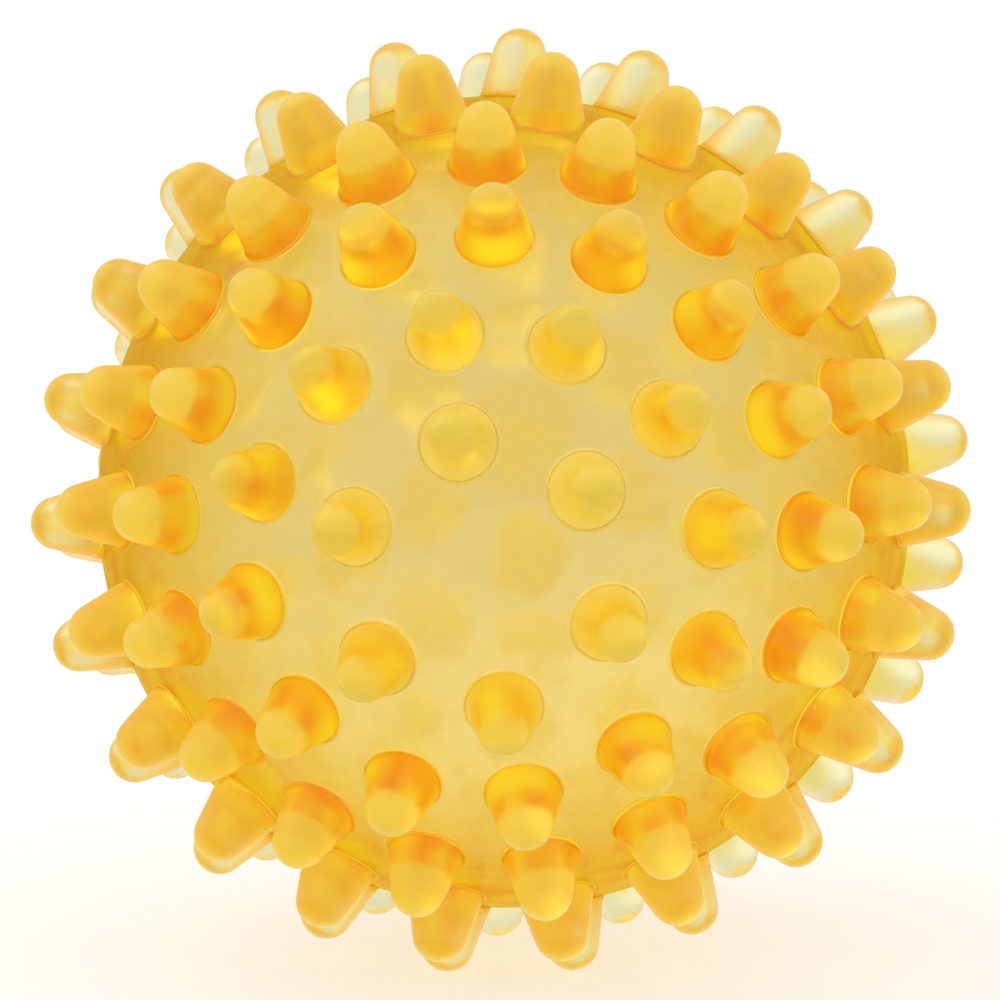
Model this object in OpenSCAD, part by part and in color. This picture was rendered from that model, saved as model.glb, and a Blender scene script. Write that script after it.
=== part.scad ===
// Sensory ball: a hollow, air-filled ball of tinted soft vinyl, covered in rows of
// rounded nubs, with a needle valve at its rear pole.
// Millimetres, +Z up. The origin is the ball's centre.
// The bare front pole faces -Y and the valve faces +Y.

/* [Ball] */
// Diameter over the tips of opposite nubs
ball_d = 100; // [92:1:120]
// Thickness of the hollow wall
wall_t = 4; // [3:0.1:5]

/* [Nubs] */
// Height of a nub above the wall
nub_h = 7.2; // [6:0.1:8]
// Diameter of a nub where it meets the wall
nub_base_d = 8; // [7:0.1:8.4]
// Radius of the rounded end of a nub
nub_tip_r = 2.8; // [2.4:0.1:3.2]

/* [Rows] */
// Angle from the pole to the row nearest it
first_row = 18.5; // [17.5:0.1:19]
// Angle from each row to the next, away from the pole
row_step = 15.2; // [14.6:0.1:15.4]
// Nubs in the row nearest each pole
count_1 = 6; // [5:1:6]
// Nubs in the second row from each pole
count_2 = 12; // [10:1:12]
// Nubs in the third row from each pole
count_3 = 17; // [15:1:17]
// Nubs in the fourth row from each pole
count_4 = 21; // [18:1:21]
// Nubs in the fifth row from each pole, beside the bare band at the equator
count_5 = 22; // [20:1:23]
// Turn of the front half about the polar axis, from straight up
front_turn = 9.6; // [0:0.2:60]
// Turn of the rear half against the front half
rear_turn = 54.4; // [0:0.2:90]

/* [Valve] */
// Diameter of the valve seat where it passes through the wall
seat_d = 9; // [8.6:0.1:10]
// Diameter of the seat's flange inside the wall
flange_d = 13; // [12:0.1:14]
// Thickness of the seat's flange at its rim
flange_t = 2; // [1.5:0.1:2.5]
// Depth of the whole seat below the ball's surface
seat_depth = 9.5; // [9:0.1:11]
// Thickness of the seat's boss round the plug's shank
boss_wall = 1.5; // [1.2:0.1:1.7]
// Diameter of the plug's head
head_d = 6.4; // [6:0.1:6.6]
// Thickness of the plug's head
head_t = 1.2; // [1:0.1:1.5]
// Diameter of the plug's shank
shank_d = 4.5; // [4.2:0.1:4.8]
// Radius of the needle guide in the plug
needle_r = 1.1; // [0.9:0.05:1.3]
// Depth of the needle guide below the ball's surface
needle_depth = 4; // [3:0.1:4.5]

/* [Hidden] */
$fn = 96;
// Running gap between the plug's shank and its bore, on the radius
shank_gap = 0.05;
// Gap round and under the plug's head
head_gap = 0.3;
// Extra length on a cutter so that it passes right through
over = 1;

ball_r = ball_d / 2;
wall_r = ball_r - nub_h;
hollow_r = wall_r - wall_t;

// The nub's side is a cone that meets the rounded end at a tangent
nub_base_r = nub_base_d / 2;
tip_rise = nub_h - nub_tip_r;
taper = acos(nub_tip_r / norm([nub_base_r, tip_rise])) - atan2(tip_rise, nub_base_r);
cone_top = tip_rise + nub_tip_r * sin(taper);
cone_top_r = nub_tip_r * cos(taper);
// The cone starts under the wall's surface and is trimmed back to it
root = 0.5;
root_r = nub_base_r + root * tan(taper);

// Angle from the pole to each row of one half
row_2 = first_row + row_step;
row_3 = row_2 + row_step;
row_4 = row_3 + row_step;
row_5 = row_4 + row_step;
front_zero = 90 + front_turn;
rear_zero = front_zero + rear_turn;

// Height of the rim where the flange meets the wall, and the flange's own foot
flange_rim = sqrt(pow(hollow_r, 2) - pow(flange_d / 2, 2));
flange_foot = flange_rim - flange_t;
seat_foot = wall_r - seat_depth;
boss_d = shank_d + 2 * boss_wall;
plug_foot = seat_foot + head_gap;
head_foot = wall_r - head_t;

// Turns a shape drawn along +Z towards the front pole
module to_front() {
    rotate([90, 0, 0]) children();
}

// Turns a shape drawn along +Z towards the rear pole
module to_rear() {
    rotate([-90, 0, 0]) children();
}

// One nub on the polar axis, reaching just under the wall's surface
module nub() {
    translate([0, 0, wall_r - root])
        cylinder(h = root + cone_top, r1 = root_r, r2 = cone_top_r);
    translate([0, 0, wall_r + tip_rise])
        sphere(r = nub_tip_r);
}

// A ring of nubs at one angle from the front pole, trimmed to sit on the wall
module nub_row(polar, count, zero, half) {
    step = 360 / count;
    color("#f2b62b")
        to_front()
            difference() {
                for (i = [0 : count - 1])
                    rotate([0, polar, zero + (i + half) * step])
                        nub();
                sphere(r = wall_r);
            }
}

// The hollow ball, with the round hole that takes the valve seat
module wall() {
    color("#edc45a")
        difference() {
            sphere(r = wall_r);
            sphere(r = hollow_r);
            to_rear()
                cylinder(h = wall_r + over, d = seat_d);
        }
}

// Front half, from the pole to the bare band
module nub_row_01() {
    nub_row(first_row, count_1, front_zero, 0);
}

module nub_row_02() {
    nub_row(row_2, count_2, front_zero, 0);
}

module nub_row_03() {
    nub_row(row_3, count_3, front_zero, 0.5);
}

module nub_row_04() {
    nub_row(row_4, count_4, front_zero, 0.5);
}

module nub_row_05() {
    nub_row(row_5, count_5, front_zero, 0);
}

// Rear half, the same rows from the bare band to the valve
module nub_row_06() {
    nub_row(180 - row_5, count_5, rear_zero, 0);
}

module nub_row_07() {
    nub_row(180 - row_4, count_4, rear_zero, 0.5);
}

module nub_row_08() {
    nub_row(180 - row_3, count_3, rear_zero, 0.5);
}

module nub_row_09() {
    nub_row(180 - row_2, count_2, rear_zero, 0);
}

module nub_row_10() {
    nub_row(180 - first_row, count_1, rear_zero, 0);
}

// Bush bonded in the wall: a collar flush with the ball's surface, a flange that
// lies against the inside of the wall, and a boss that grips the plug
module valve_seat() {
    color("#e0ab2c")
        to_rear()
            difference() {
                union() {
                    intersection() {
                        translate([0, 0, flange_foot])
                            cylinder(h = wall_r, d = flange_d);
                        sphere(r = hollow_r);
                    }
                    intersection() {
                        translate([0, 0, flange_foot])
                            cylinder(h = wall_r, d = seat_d);
                        sphere(r = wall_r);
                    }
                    // The boss reaches into the flange, so that they are one solid
                    translate([0, 0, seat_foot])
                        cylinder(h = flange_foot + flange_t / 2 - seat_foot, d = boss_d);
                }
                translate([0, 0, seat_foot - over])
                    cylinder(h = wall_r, r = shank_d / 2 + shank_gap);
                translate([0, 0, head_foot - head_gap])
                    cylinder(h = wall_r, r = head_d / 2 + head_gap);
            }
}

// Plug that pulls out of the seat, with a blind guide for a pump needle
module valve_plug() {
    color("#d99a1e")
        to_rear()
            difference() {
                union() {
                    translate([0, 0, plug_foot])
                        cylinder(h = head_foot - plug_foot, d = shank_d);
                    intersection() {
                        translate([0, 0, head_foot])
                            cylinder(h = wall_r, d = head_d);
                        sphere(r = wall_r);
                    }
                }
                translate([0, 0, wall_r - needle_depth])
                    cylinder(h = wall_r, r = needle_r);
            }
}

wall();
nub_row_01();
nub_row_02();
nub_row_03();
nub_row_04();
nub_row_05();
nub_row_06();
nub_row_07();
nub_row_08();
nub_row_09();
nub_row_10();
valve_seat();
valve_plug();
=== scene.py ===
import math

import bpy
import numpy as np
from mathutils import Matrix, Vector
from mathutils.geometry import delaunay_2d_cdt


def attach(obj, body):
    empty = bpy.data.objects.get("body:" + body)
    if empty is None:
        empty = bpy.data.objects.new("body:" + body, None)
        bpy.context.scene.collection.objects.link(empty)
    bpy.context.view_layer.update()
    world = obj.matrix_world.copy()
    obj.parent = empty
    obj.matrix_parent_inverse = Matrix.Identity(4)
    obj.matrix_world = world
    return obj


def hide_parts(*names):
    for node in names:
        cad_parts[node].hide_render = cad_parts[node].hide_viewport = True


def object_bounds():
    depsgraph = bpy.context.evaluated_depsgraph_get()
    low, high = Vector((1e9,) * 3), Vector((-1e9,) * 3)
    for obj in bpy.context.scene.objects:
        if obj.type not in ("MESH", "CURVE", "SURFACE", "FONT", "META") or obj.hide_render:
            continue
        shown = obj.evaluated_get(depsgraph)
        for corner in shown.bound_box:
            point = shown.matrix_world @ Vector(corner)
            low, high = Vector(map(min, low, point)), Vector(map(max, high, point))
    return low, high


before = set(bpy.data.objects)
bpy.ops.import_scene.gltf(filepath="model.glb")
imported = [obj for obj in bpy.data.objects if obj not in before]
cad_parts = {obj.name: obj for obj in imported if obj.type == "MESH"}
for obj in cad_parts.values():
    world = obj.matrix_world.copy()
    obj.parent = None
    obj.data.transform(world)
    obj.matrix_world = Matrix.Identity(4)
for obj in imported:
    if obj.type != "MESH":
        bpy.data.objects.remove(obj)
cad_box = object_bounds()

# Sizes of the ball, in metres. The gap is left round the valve seat
MM = 0.001
BALL_R = 50 * MM
NUB_H = 7.2 * MM
WALL_T = 4 * MM
NUB_BASE_R = 4 * MM
NUB_TIP_R = 2.8 * MM
NUB_FILLET_R = 0.45 * MM
SEAT_R = 4.5 * MM
SEAT_GAP = 0.02 * MM
WALL_R = BALL_R - NUB_H
HOLLOW_R = WALL_R - WALL_T

# Rows of nubs on one half, from its pole to the bare band, in degrees: the first row's angle from
# the pole, the step to each next row, and the turn of each half about the polar axis
FIRST_ROW = 18.5
ROW_STEP = 15.2
FRONT_ZERO = 99.6
REAR_ZERO = 154
# Nubs in each row, and the row's further turn as a share of its step from nub to nub
ROW_COUNTS = (6, 12, 17, 21, 22)
ROW_SHIFTS = (0, 0, 0.5, 0.5, 0)

# Mesh density
NUB_SEGMENTS = 32
FILLET_STEPS = 4
SIDE_STEPS = 5
TIP_STEPS = 8
HOLE_SEGMENTS = 96
INNER_RINGS = 64
# Points spread over the wall: their spacing, the area that each takes as a share of its square, and
# the least distance from a nub's foot or the valve hole as a share of it
FILL_SPACING = 1.3 * MM
FILL_AREA = 0.87
FILL_CLEAR = 0.6
# Flattened points that are nearer to each other than this are one point
SAME_POINT = 1e-9
# An axis with at least this much Z counts as upright
UPRIGHT = 0.9

# Camera, as fitted to the photograph: its angles are in degrees, and the ball's centre and the
# wall's radius are in pixels of a picture of this width
PICTURE = 1000
CENTRE_PIXEL = (503.8, 501.6)
WALL_PIXELS = 406
CAMERA_DISTANCE = 18.68 * WALL_R
CAMERA_AZIMUTH = 3.15
CAMERA_ELEVATION = 10.4
SENSOR = 36
CLIP_END = 20

# Bounces of light that are followed, enough for its way through the whole ball
BOUNCES = 32

# Vinyl: its index of refraction, and what it takes out of red, green and blue light per metre
IOR = 1.41
ABSORB = (0.3, 6.6, 102)

# Nubs: the tint on each half and how far the two blend past the middle, the heights above the wall
# where their finish starts and is whole, and their roughness
FRONT_TINT = (1, 0.975, 0.8, 1)
REAR_TINT = (1, 1, 1, 1)
TINT_BLEND = 3 * MM
NUB_START = 0.1 * MM
NUB_WHOLE = 0.9 * MM
NUB_ROUGH = 0.35

# Outside of the wall: its tint seen square on and its painted shade seen aslant, an ochre that
# darkens its edge, the range of slope between the two, its roughness, and the width and depth of
# its waves
WALL_TINT = (1, 1, 1, 1)
# Painted shade: the ochre that darkens the wall's outside towards its edge, where it is seen aslant
EDGE_SHADE_TINT = (0.88, 0.71, 0.12, 1)
EDGE_SHADE_FACING = (0.1, 0.75)
WALL_ROUGH = 0.21
WALL_WAVE = (6 * MM, 0.25 * MM)

# Inside of the wall: its tint where light passes and where light is mirrored, its roughness, and
# the width and depth of its waves
INNER_TINT = (0.97, 0.885, 0.76, 1)
INNER_MIRROR = (1, 0.8, 0.17, 1)
INNER_ROUGH = 0.15
INNER_WAVE = (8 * MM, 0.55 * MM)
WAVE_DETAIL = 1

# Valve, of the same vinyl: a further tint on each piece, its range of roughness, and its grain
SEAT_COLOUR = (1, 0.95, 0.75, 1)
PLUG_COLOUR = (1, 0.9, 0.5, 1)
VALVE_ROUGH = (0.3, 0.5)
GRAIN_SIZE = 0.8 * MM
GRAIN_DEPTH = 0.03 * MM
GRAIN_DETAIL = 3

# Room: its level beside the ball and at its dimmest, the way towards its dimmest part, and where
# the dimming starts and ends along that way, as cosines for the world and as places on the floor
WHITE = (1, 1, 1, 1)
ROOM_LEVELS = (1, 0.78)
DIM_WAY = (-0.45, 0.89, 0)
WORLD_DIM = (0.35, 0.85)
FLOOR_DIM = (BALL_R, 5 * BALL_R)
# Floor: its half width, and the share of plain white in it that keeps its shadow faint
FLOOR_REACH = 6.0
FLOOR_WHITE = 0.5
# Large soft lamp in the room: the way towards it, its level, and the angles from its middle where
# it ends and where it is whole, in degrees
LAMP_WAY = (-0.58, 0.22, 0.78)
LAMP_LEVEL = 0.7
LAMP_EDGE = 35
LAMP_CORE = 15


def polar(theta, phi):
    """Unit vector at an angle from the front pole and a turn about the polar axis, in degrees."""
    t = math.radians(theta)
    p = math.radians(phi)
    return np.array((math.sin(t) * math.cos(p), -math.cos(t), math.sin(t) * math.sin(p)))


def nub_directions():
    """The direction of every nub, row by row, on the front half and then on the rear half."""
    found = []
    for rear in (False, True):
        zero = REAR_ZERO if rear else FRONT_ZERO
        for row, (count, shift) in enumerate(zip(ROW_COUNTS, ROW_SHIFTS)):
            theta = FIRST_ROW + row * ROW_STEP
            if rear:
                theta = 180 - theta
            for i in range(count):
                found.append(polar(theta, zero + (i + shift) * 360 / count))
    return np.array(found)


def nub_profile():
    """Points (distance from the axis, height from the ball's centre) and normals up one nub,
    from the foot of its fillet on the wall to the last ring below its tip."""
    rise = NUB_H - NUB_TIP_R
    taper = math.acos(NUB_TIP_R / math.hypot(NUB_BASE_R, rise)) - math.atan2(rise, NUB_BASE_R)
    side = np.array((math.cos(taper), math.sin(taper)))
    along = np.array((-math.sin(taper), math.cos(taper)))
    off = NUB_BASE_R * side[0] + WALL_R * side[1] + NUB_FILLET_R
    centre = off * side + math.sqrt((WALL_R + NUB_FILLET_R) ** 2 - off ** 2) * along
    points = []
    normals = []
    start = math.atan2(-centre[1], -centre[0])
    end = math.atan2(-side[1], -side[0])
    for i in range(FILLET_STEPS + 1):
        a = start + (end - start) * i / FILLET_STEPS
        ray = np.array((math.cos(a), math.sin(a)))
        points.append(centre + NUB_FILLET_R * ray)
        normals.append(-ray)
    foot = points[-1]
    tip = np.array((0, WALL_R + rise))
    shoulder = tip + NUB_TIP_R * side
    for i in range(1, SIDE_STEPS):
        points.append(foot + (shoulder - foot) * i / SIDE_STEPS)
        normals.append(side)
    for i in range(TIP_STEPS):
        a = taper + (math.pi / 2 - taper) * i / TIP_STEPS
        ray = np.array((math.cos(a), math.sin(a)))
        points.append(tip + NUB_TIP_R * ray)
        normals.append(ray)
    return points, normals


def fill_points(nubs, foot_angle, hole_angle):
    """Evenly spread unit vectors on the wall, clear of the nubs' feet and of the valve hole."""
    count = int(4 * math.pi * WALL_R ** 2 / (FILL_AREA * FILL_SPACING ** 2))
    golden = math.pi * (3 - math.sqrt(5))
    i = np.arange(count)
    y = 1 - 2 * (i + 0.5) / count
    r = np.sqrt(1 - y * y)
    spots = np.stack((r * np.cos(golden * i), y, r * np.sin(golden * i)), 1)
    room = FILL_CLEAR * FILL_SPACING / WALL_R
    clear = (spots @ nubs.T).max(1) < math.cos(foot_angle + room)
    clear &= spots[:, 1] < math.cos(hole_angle + room)
    return spots[clear]


class Skin:
    """Points, normals and faces of the moulded skin, gathered piece by piece."""

    def __init__(self):
        self.points = []
        self.normals = []
        self.faces = []

    def ring(self, points, normals):
        """Adds points with their normals, and returns their numbers."""
        first = sum(len(p) for p in self.points)
        self.points.append(np.asarray(points))
        self.normals.append(np.asarray(normals))
        return list(range(first, first + len(points)))

    def band(self, low, high):
        """Quads between two closed rings of as many points."""
        n = len(low)
        for i in range(n):
            j = (i + 1) % n
            self.faces.append((low[i], low[j], high[j], high[i]))

    def dome(self, rings, tip):
        """Bands from ring to ring, closed by triangles from the last ring to a tip."""
        for low, high in zip(rings, rings[1:]):
            self.band(low, high)
        rim = rings[-1]
        n = len(rim)
        for i in range(n):
            self.faces.append((rim[i], rim[(i + 1) % n], tip))

    def mesh(self, name):
        """The smooth mesh of everything gathered, with the normals of the true shape."""
        mesh = bpy.data.meshes.new(name)
        mesh.from_pydata(np.concatenate(self.points).tolist(), [], self.faces)
        mesh.validate()
        mesh.shade_smooth()
        mesh.normals_split_custom_set_from_vertices(np.concatenate(self.normals).tolist())
        return mesh


def turn_frame(axis):
    """Two unit vectors square to an axis and to each other."""
    helper = np.array((0, 0, 1)) if abs(axis[2]) < UPRIGHT else np.array((1, 0, 0))
    u = np.cross(helper, axis)
    u /= np.linalg.norm(u)
    return u, np.cross(axis, u)


def ring_on(axis, profile_point, profile_normal, segments):
    """A ring of points and normals that a profile point sweeps round an axis."""
    u, v = turn_frame(axis)
    a = np.arange(segments) * 2 * math.pi / segments
    out = np.outer(np.cos(a), u) + np.outer(np.sin(a), v)
    points = profile_point[0] * out + profile_point[1] * axis
    normals = profile_normal[0] * out + profile_normal[1] * axis
    return points, normals


def add_nub(skin, axis, points, normals):
    """Adds the nub on an axis from its profile, and returns the ring at its foot."""
    rings = [skin.ring(*ring_on(axis, p, n, NUB_SEGMENTS)) for p, n in zip(points, normals)]
    tip = skin.ring([(WALL_R + NUB_H) * axis], [axis])[0]
    skin.dome(rings, tip)
    return rings[0]


def add_inside(skin, rear, first):
    """Adds the wall's inside, from an angle at the rear pole to the front pole."""
    rings = []
    for i in range(INNER_RINGS):
        a = first + (math.pi - first) * i / INNER_RINGS
        ray = np.array((math.sin(a), math.cos(a)))
        rings.append(skin.ring(*ring_on(rear, HOLLOW_R * ray, -ray, HOLE_SEGMENTS)))
    tip = skin.ring([-HOLLOW_R * rear], [rear])[0]
    skin.dome(rings, tip)


def vinyl_skin():
    """The moulding: the wall's outside with its nubs, the valve hole, and the smooth inside."""
    skin = Skin()
    nubs = nub_directions()
    points, normals = nub_profile()
    feet = [add_nub(skin, axis, points, normals) for axis in nubs]
    rear = np.array((0.0, 1.0, 0.0))
    hole_r = SEAT_R + SEAT_GAP
    hole_out = (hole_r, math.sqrt(WALL_R ** 2 - hole_r ** 2))
    hole_in = (hole_r, math.sqrt(HOLLOW_R ** 2 - hole_r ** 2))
    rim = skin.ring(*ring_on(rear, hole_out, np.array(hole_out) / WALL_R, HOLE_SEGMENTS))
    spots = fill_points(nubs, math.atan2(*points[0]), math.atan2(*hole_out))
    fill = skin.ring(WALL_R * spots, spots)
    cover_wall(skin, feet, rim, fill)
    edge_out = skin.ring(*ring_on(rear, hole_out, (-1, 0), HOLE_SEGMENTS))
    edge_in = skin.ring(*ring_on(rear, hole_in, (-1, 0), HOLE_SEGMENTS))
    skin.band(edge_out, edge_in)
    add_inside(skin, rear, math.atan2(*hole_in))
    return skin.mesh("vinyl_skin")


def cover_wall(skin, feet, rim, fill):
    """Covers the wall between the nubs' feet, the valve hole's rim and the spread points with
    even triangles: flattened from the rear pole, circles stay circles, so the flat cover is also
    the even one on the ball."""
    owner = {v: k for k, foot in enumerate(feet) for v in foot}
    used = [v for foot in feet for v in foot] + rim + fill
    everything = np.concatenate(skin.points)
    unit = everything[used] / WALL_R
    unit /= np.linalg.norm(unit, axis=1)[:, None]
    flat = unit[:, (0, 2)] / (1 - unit[:, 1])[:, None]
    result = delaunay_2d_cdt([Vector(p) for p in flat.tolist()], [], [], 0, SAME_POINT)
    source = [used[o[0]] for o in result[3]]
    rim_set = set(rim)
    for face in result[2]:
        a, b, c = (source[i] for i in face)
        nub = owner.get(a)
        if nub is not None and nub == owner.get(b) == owner.get(c):
            continue
        if a in rim_set and b in rim_set and c in rim_set:
            continue
        pa, pb, pc = everything[a], everything[b], everything[c]
        if np.dot(np.cross(pb - pa, pc - pa), pa) < 0:
            b, c = c, b
        skin.faces.append((a, b, c))


def new_material(name):
    """A new material with its nodes, its links and its own shader."""
    material = bpy.data.materials.new(name)
    material.use_nodes = True
    nodes = material.node_tree.nodes
    return material, nodes, material.node_tree.links, nodes["Principled BSDF"]


def add_node(nodes, kind, **settings):
    """A new shader node with its settings."""
    node = nodes.new("ShaderNode" + kind)
    for name, value in settings.items():
        setattr(node, name, value)
    return node


def add_range(nodes, links, value, span, levels=(0, 1), shape="LINEAR"):
    """A node that goes between two levels while a value crosses a span."""
    step = add_node(nodes, "MapRange", interpolation_type=shape)
    links.new(value, step.inputs["Value"])
    step.inputs["From Min"].default_value = span[0]
    step.inputs["From Max"].default_value = span[1]
    step.inputs["To Min"].default_value = levels[0]
    step.inputs["To Max"].default_value = levels[1]
    return step


def add_fade(nodes, links, place, way, span, levels):
    """A node that goes smoothly between two levels with how far a place lies along a way."""
    along = add_node(nodes, "VectorMath", operation="DOT_PRODUCT")
    links.new(place, along.inputs[0])
    along.inputs[1].default_value = way
    return add_range(nodes, links, along.outputs["Value"], span, levels, "SMOOTHSTEP")


def add_math(nodes, links, operation, first, second):
    """The result of a maths operation on two linked values."""
    node = add_node(nodes, "Math", operation=operation)
    links.new(first, node.inputs[0])
    links.new(second, node.inputs[1])
    return node.outputs["Value"]


def mix_tints(nodes, links, share, low, high):
    """A tint that goes from low to high with a share."""
    tint = add_node(nodes, "Mix", data_type="RGBA")
    links.new(share, tint.inputs["Factor"])
    tint.inputs["A"].default_value = low
    tint.inputs["B"].default_value = high
    return tint.outputs["Result"]


def mix_shaders(nodes, links, share, first, second):
    """Two shaders mixed, with a share of the second."""
    mix = add_node(nodes, "MixShader")
    links.new(share, mix.inputs["Fac"])
    links.new(first, mix.inputs[1])
    links.new(second, mix.inputs[2])
    return mix.outputs["Shader"]


def add_noise(nodes, links, place, size, detail):
    """Noise in the object's own space, from the size of its features."""
    noise = add_node(nodes, "TexNoise")
    noise.inputs["Scale"].default_value = 1 / size
    noise.inputs["Detail"].default_value = detail
    links.new(place.outputs["Object"], noise.inputs["Vector"])
    return noise


def add_bump(nodes, links, height, distance, shader):
    """Gives a shader the relief of a noise."""
    bump = add_node(nodes, "Bump")
    bump.inputs["Distance"].default_value = distance
    links.new(height.outputs["Fac"], bump.inputs["Height"])
    links.new(bump.outputs["Normal"], shader.inputs["Normal"])


def add_absorption(nodes, links):
    """Makes a material take ABSORB out of the light on its way through."""
    volume = add_node(nodes, "VolumeAbsorption")
    top = max(ABSORB)
    volume.inputs["Color"].default_value = (*(1 - a / top for a in ABSORB), 1)
    volume.inputs["Density"].default_value = top
    links.new(volume.outputs["Volume"], nodes["Material Output"].inputs["Volume"])


def wavy_glass(nodes, links, place, tint, rough, wave):
    """Rough tinted glass that is slightly uneven, from the width and the depth of its waves."""
    glass = add_node(nodes, "BsdfGlass")
    links.new(tint, glass.inputs["Color"])
    glass.inputs["Roughness"].default_value = rough
    glass.inputs["IOR"].default_value = IOR
    noise = add_noise(nodes, links, place, wave[0], WAVE_DETAIL)
    add_bump(nodes, links, noise, wave[1], glass)
    return glass.outputs["BSDF"]


def finish_nubs(nodes, links, place, shader):
    """Clear satin nubs, yellower on the front half."""
    shader.inputs["Transmission Weight"].default_value = 1
    shader.inputs["IOR"].default_value = IOR
    shader.inputs["Roughness"].default_value = NUB_ROUGH
    split = add_node(nodes, "SeparateXYZ")
    links.new(place.outputs["Object"], split.inputs["Vector"])
    half = add_range(nodes, links, split.outputs["Y"], (-TINT_BLEND, TINT_BLEND))
    tint = mix_tints(nodes, links, half.outputs["Result"], FRONT_TINT, REAR_TINT)
    links.new(tint, shader.inputs["Base Color"])


def outer_glass(nodes, links, place):
    """The wall's outside, with painted shade that darkens it towards its edge, where it is seen
    aslant.
    Only a ray that meets it from outside takes the painted shade, so what is mirrored inside the
    vinyl stays bright."""
    slope = add_node(nodes, "LayerWeight")
    # Painted shade: the outside darkens to the edge tint where it is seen aslant
    edge_shade = add_range(nodes, links, slope.outputs["Facing"], EDGE_SHADE_FACING, shape="SMOOTHSTEP")
    side = add_node(nodes, "NewGeometry")
    entering = add_node(nodes, "Math", operation="SUBTRACT")
    entering.inputs[0].default_value = 1
    links.new(side.outputs["Backfacing"], entering.inputs[1])
    links.new(entering.outputs["Value"], edge_shade.inputs["To Max"])
    tint = mix_tints(nodes, links, edge_shade.outputs["Result"], WALL_TINT, EDGE_SHADE_TINT)
    return wavy_glass(nodes, links, place, tint, WALL_ROUGH, WALL_WAVE)


def inner_glass(nodes, links, place):
    """The wall's inside, smoother than its outside and deeper where it mirrors light."""
    mirrored = add_node(nodes, "Fresnel")
    mirrored.inputs["IOR"].default_value = IOR
    tint = mix_tints(nodes, links, mirrored.outputs["Fac"], INNER_TINT, INNER_MIRROR)
    return wavy_glass(nodes, links, place, tint, INNER_ROUGH, INNER_WAVE)


def vinyl_material():
    """Clear tinted vinyl with three finishes, by distance from the ball's centre: the wall's
    inside, its outside, and the nubs."""
    material, nodes, links, shader = new_material("tinted_vinyl")
    place = add_node(nodes, "TexCoord")
    radius = add_node(nodes, "VectorMath", operation="LENGTH")
    links.new(place.outputs["Object"], radius.inputs[0])
    finish_nubs(nodes, links, place, shader)
    wall = outer_glass(nodes, links, place)
    nub_span = (WALL_R + NUB_START, WALL_R + NUB_WHOLE)
    nub = add_range(nodes, links, radius.outputs["Value"], nub_span)
    outside = mix_shaders(nodes, links, nub.outputs["Result"], wall, shader.outputs["BSDF"])
    inner = inner_glass(nodes, links, place)
    inside = add_node(nodes, "Math", operation="LESS_THAN")
    links.new(radius.outputs["Value"], inside.inputs[0])
    inside.inputs[1].default_value = (WALL_R + HOLLOW_R) / 2
    skin = mix_shaders(nodes, links, inside.outputs["Value"], outside, inner)
    links.new(skin, nodes["Material Output"].inputs["Surface"])
    add_absorption(nodes, links)
    return material


def valve_material(name, colour):
    """Tinted vinyl of the valve, with a fine moulded grain that breaks up its sheen."""
    material, nodes, links, shader = new_material(name)
    shader.inputs["Base Color"].default_value = colour
    shader.inputs["Transmission Weight"].default_value = 1
    shader.inputs["IOR"].default_value = IOR
    place = add_node(nodes, "TexCoord")
    grain = add_noise(nodes, links, place, GRAIN_SIZE, GRAIN_DETAIL)
    sheen = add_range(nodes, links, grain.outputs["Fac"], (0, 1), VALVE_ROUGH)
    links.new(sheen.outputs["Result"], shader.inputs["Roughness"])
    add_bump(nodes, links, grain, GRAIN_DEPTH, shader)
    add_absorption(nodes, links)
    return material


def floor_material():
    """White floor with a faint shadow. Seen in or through the ball it glows as the room does."""
    material, nodes, links, shader = new_material("floor")
    shader.inputs["Base Color"].default_value = WHITE
    shader.inputs["Roughness"].default_value = 1
    shader.inputs["Specular IOR Level"].default_value = 0
    path = add_node(nodes, "LightPath")
    camera = path.outputs["Is Camera Ray"]
    mirrored = path.outputs["Is Glossy Ray"]
    passed = path.outputs["Is Transmission Ray"]
    share = add_node(nodes, "Math", operation="MULTIPLY_ADD", use_clamp=True)
    links.new(camera, share.inputs[0])
    share.inputs[1].default_value = FLOOR_WHITE
    links.new(add_math(nodes, links, "MAXIMUM", mirrored, passed), share.inputs[2])
    place = add_node(nodes, "TexCoord")
    fade = add_fade(nodes, links, place.outputs["Object"], DIM_WAY, FLOOR_DIM, ROOM_LEVELS)
    level = add_math(nodes, links, "MAXIMUM", camera, fade.outputs["Result"])
    glow = add_node(nodes, "Emission")
    links.new(level, glow.inputs["Strength"])
    lit = shader.outputs["BSDF"]
    mix = mix_shaders(nodes, links, share.outputs["Value"], lit, glow.outputs["Emission"])
    links.new(mix, nodes["Material Output"].inputs["Surface"])
    return material


def add_skin():
    """Adds the moulding, which stands for the wall and every row of nubs."""
    mesh = vinyl_skin()
    skin = bpy.data.objects.new("vinyl_skin", mesh)
    bpy.context.scene.collection.objects.link(skin)
    mesh.materials.append(vinyl_material())
    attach(skin, "ball")
    rows = [f"nub_row_{i + 1:02d}" for i in range(2 * len(ROW_COUNTS))]
    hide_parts("wall", *rows)


def dress_valve():
    """Gives the valve's own solids their materials."""
    for node, colour in (("valve_seat", SEAT_COLOUR), ("valve_plug", PLUG_COLOUR)):
        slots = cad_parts[node].data.materials
        slots.clear()
        slots.append(valve_material(node, colour))


def add_floor():
    """Adds a wide floor under the lowest nub."""
    mesh = bpy.data.meshes.new("floor")
    far = FLOOR_REACH
    low = cad_box[0][2]
    corners = [(-far, -far, low), (far, -far, low), (far, far, low), (-far, far, low)]
    mesh.from_pydata(corners, [], [(0, 1, 2, 3)])
    floor = bpy.data.objects.new("floor", mesh)
    bpy.context.scene.collection.objects.link(floor)
    mesh.materials.append(floor_material())


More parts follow.
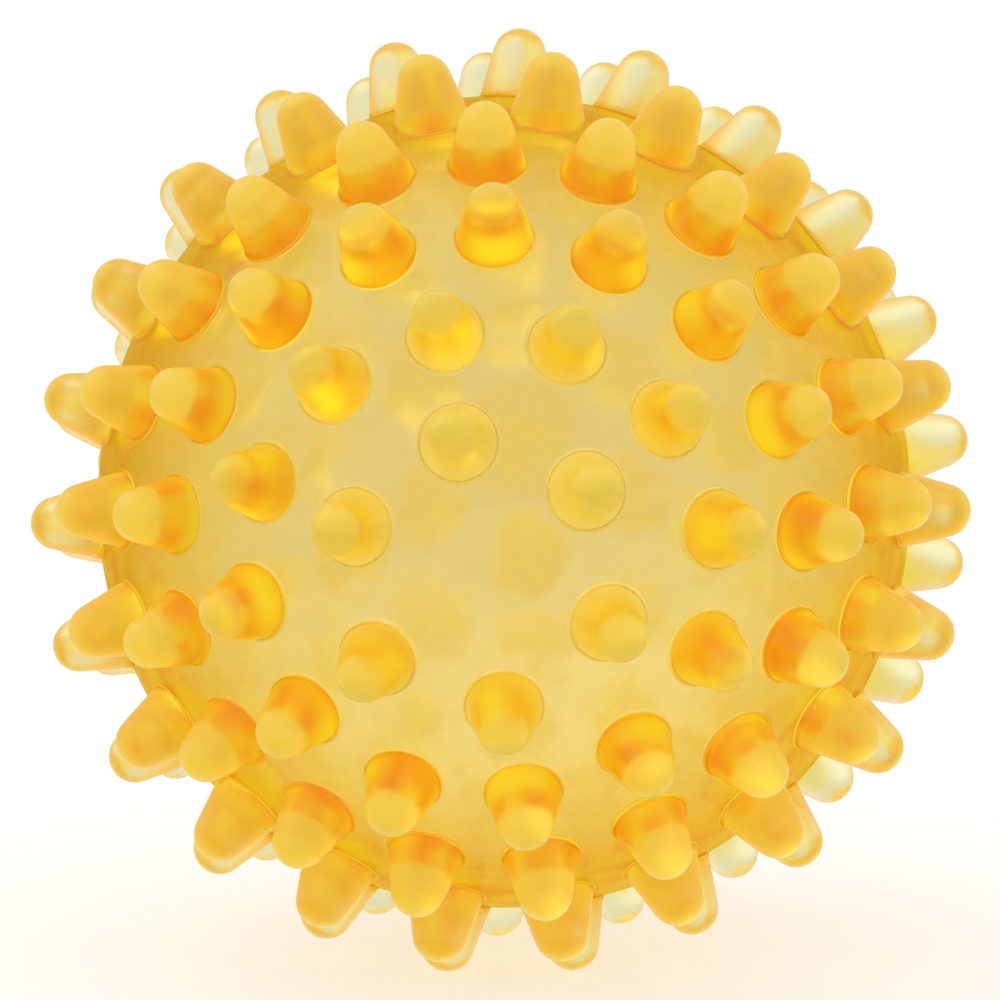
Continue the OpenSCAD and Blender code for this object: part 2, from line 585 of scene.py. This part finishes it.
def add_world():
    """Adds a white room that is dimmer behind the ball, with its lamp. Seen straight from the
    camera it is never less than white."""
    world = bpy.data.worlds.new("studio")
    bpy.context.scene.world = world
    world.use_nodes = True
    nodes = world.node_tree.nodes
    links = world.node_tree.links
    way = add_node(nodes, "TexCoord").outputs["Generated"]
    fade = add_fade(nodes, links, way, DIM_WAY, WORLD_DIM, ROOM_LEVELS)
    lamp_span = (math.cos(math.radians(LAMP_EDGE)), math.cos(math.radians(LAMP_CORE)))
    lamp = add_fade(nodes, links, way, LAMP_WAY, lamp_span, (0, LAMP_LEVEL))
    room = add_math(nodes, links, "ADD", fade.outputs["Result"], lamp.outputs["Result"])
    camera = add_node(nodes, "LightPath").outputs["Is Camera Ray"]
    level = add_math(nodes, links, "MAXIMUM", camera, room)
    nodes["Background"].inputs["Color"].default_value = WHITE
    links.new(level, nodes["Background"].inputs["Strength"])


def add_camera():
    """Adds the camera, so that the wall has its size and its place in the picture."""
    a = math.radians(CAMERA_AZIMUTH)
    e = math.radians(CAMERA_ELEVATION)
    away = Vector((math.sin(a) * math.cos(e), -math.cos(a) * math.cos(e), math.sin(e)))
    data = bpy.data.cameras.new("camera")
    focal = WALL_PIXELS * math.sqrt((CAMERA_DISTANCE / WALL_R) ** 2 - 1)
    data.sensor_width = SENSOR
    data.lens = focal * SENSOR / PICTURE
    data.shift_x = (PICTURE / 2 - CENTRE_PIXEL[0]) / PICTURE
    data.shift_y = (CENTRE_PIXEL[1] - PICTURE / 2) / PICTURE
    data.clip_end = CLIP_END
    camera = bpy.data.objects.new("camera", data)
    camera.location = away * CAMERA_DISTANCE
    camera.rotation_euler = (-away).to_track_quat("-Z", "Y").to_euler()
    bpy.context.scene.collection.objects.link(camera)
    bpy.context.scene.camera = camera


bpy.context.scene.view_settings.view_transform = "Standard"
bpy.context.scene.cycles.max_bounces = BOUNCES
bpy.context.scene.cycles.transmission_bounces = BOUNCES
bpy.context.scene.cycles.glossy_bounces = BOUNCES
bpy.context.scene.cycles.diffuse_bounces = BOUNCES
bpy.context.scene.cycles.blur_glossy = 0
add_camera()
add_world()
add_floor()
add_skin()
dress_valve()
